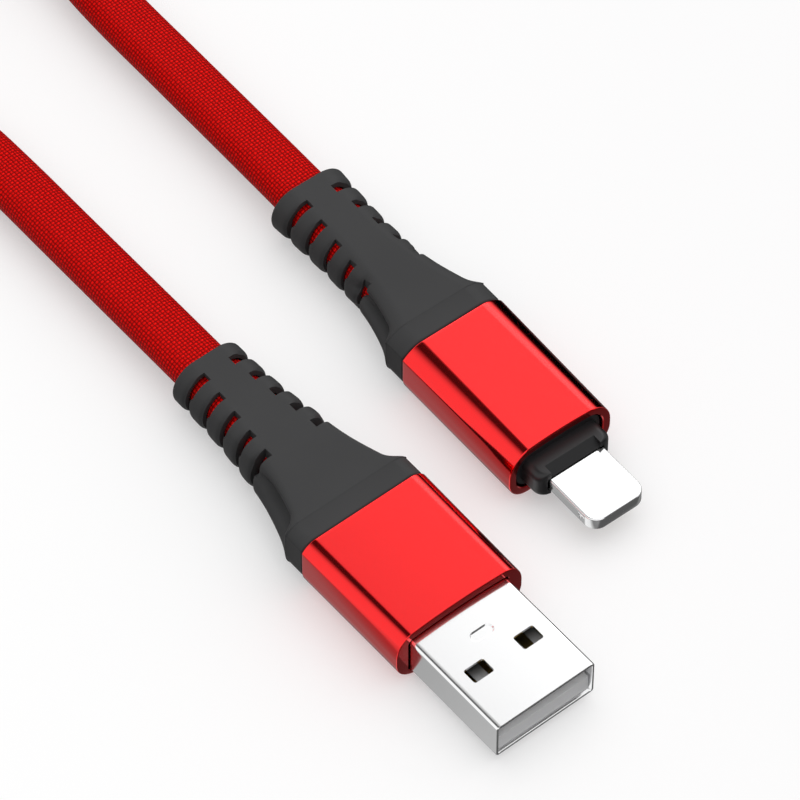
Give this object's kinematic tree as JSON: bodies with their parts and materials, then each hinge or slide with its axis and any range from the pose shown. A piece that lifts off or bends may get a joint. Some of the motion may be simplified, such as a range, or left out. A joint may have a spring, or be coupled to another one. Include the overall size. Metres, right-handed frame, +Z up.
{
  "type": "charging cable",
  "caption": "Flat braided charging cable with a charger plug and a phone plug in red metal sleeves with slotted black strain reliefs, its spare cord wound as a tied hank.",
  "frame": {"origin": "on the surface that the cable lies on, under the middle of the box round the two plugs, their sleeves and their strain reliefs; the free cord, its hank and ties are left out of that box", "axes": "+X along the charger plug's axis towards its tip, +Y from the charger plug towards the phone plug, +Z up from the surface"},
  "size_m": [0.2149, 0.0487, 0.0147],
  "materials": {
    "red_anodised": "satin red anodised aluminium",
    "black_rubber": "fine matte moulded elastomer",
    "nickel": "bright nickel plate",
    "gold": "gold flash plate",
    "grey_plastic": "moulded contact carrier",
    "black_plastic": "moulded, slightly glossy",
    "white_plastic": "translucent inner mould",
    "green_board": "solder mask over glass epoxy",
    "wire_red": "core insulation",
    "wire_white": "core insulation",
    "wire_green": "core insulation",
    "wire_black": "core insulation",
    "red_braid": "fine woven textile braid",
    "black_strap": "woven hook-and-loop strap"
  },
  "bodies": {
    "root": {"charger_shield": "nickel", "charger_tongue": "grey_plastic", "charger_contact_power": "gold", "charger_contact_data_minus": "gold", "charger_contact_data_plus": "gold", "charger_contact_ground": "gold", "charger_inner_mould": "white_plastic", "charger_wire_power": "wire_red", "charger_wire_data_minus": "wire_white", "charger_wire_data_plus": "wire_green", "charger_wire_ground": "wire_black", "charger_sleeve": "red_anodised", "charger_strain_relief": "black_rubber", "phone_tab": "nickel", "phone_contact_block": "black_plastic", "phone_contact_1": "gold", "phone_contact_2": "gold", "phone_contact_3": "gold", "phone_contact_4": "gold", "phone_contact_5": "gold", "phone_contact_6": "gold", "phone_contact_7": "gold", "phone_contact_8": "gold", "phone_collar": "black_plastic", "phone_board": "green_board", "phone_chip": "black_plastic", "phone_inner_mould": "white_plastic", "phone_wire_power": "wire_red", "phone_wire_data_minus": "wire_white", "phone_wire_data_plus": "wire_green", "phone_wire_ground": "wire_black", "phone_sleeve": "red_anodised", "phone_strain_relief": "black_rubber", "cord_charger_run": "red_braid", "cord_phone_run": "red_braid", "cord_hank": "red_braid", "cord_tie_left": "black_strap", "cord_tie_right": "black_strap"}
  },
  "joints": []
}
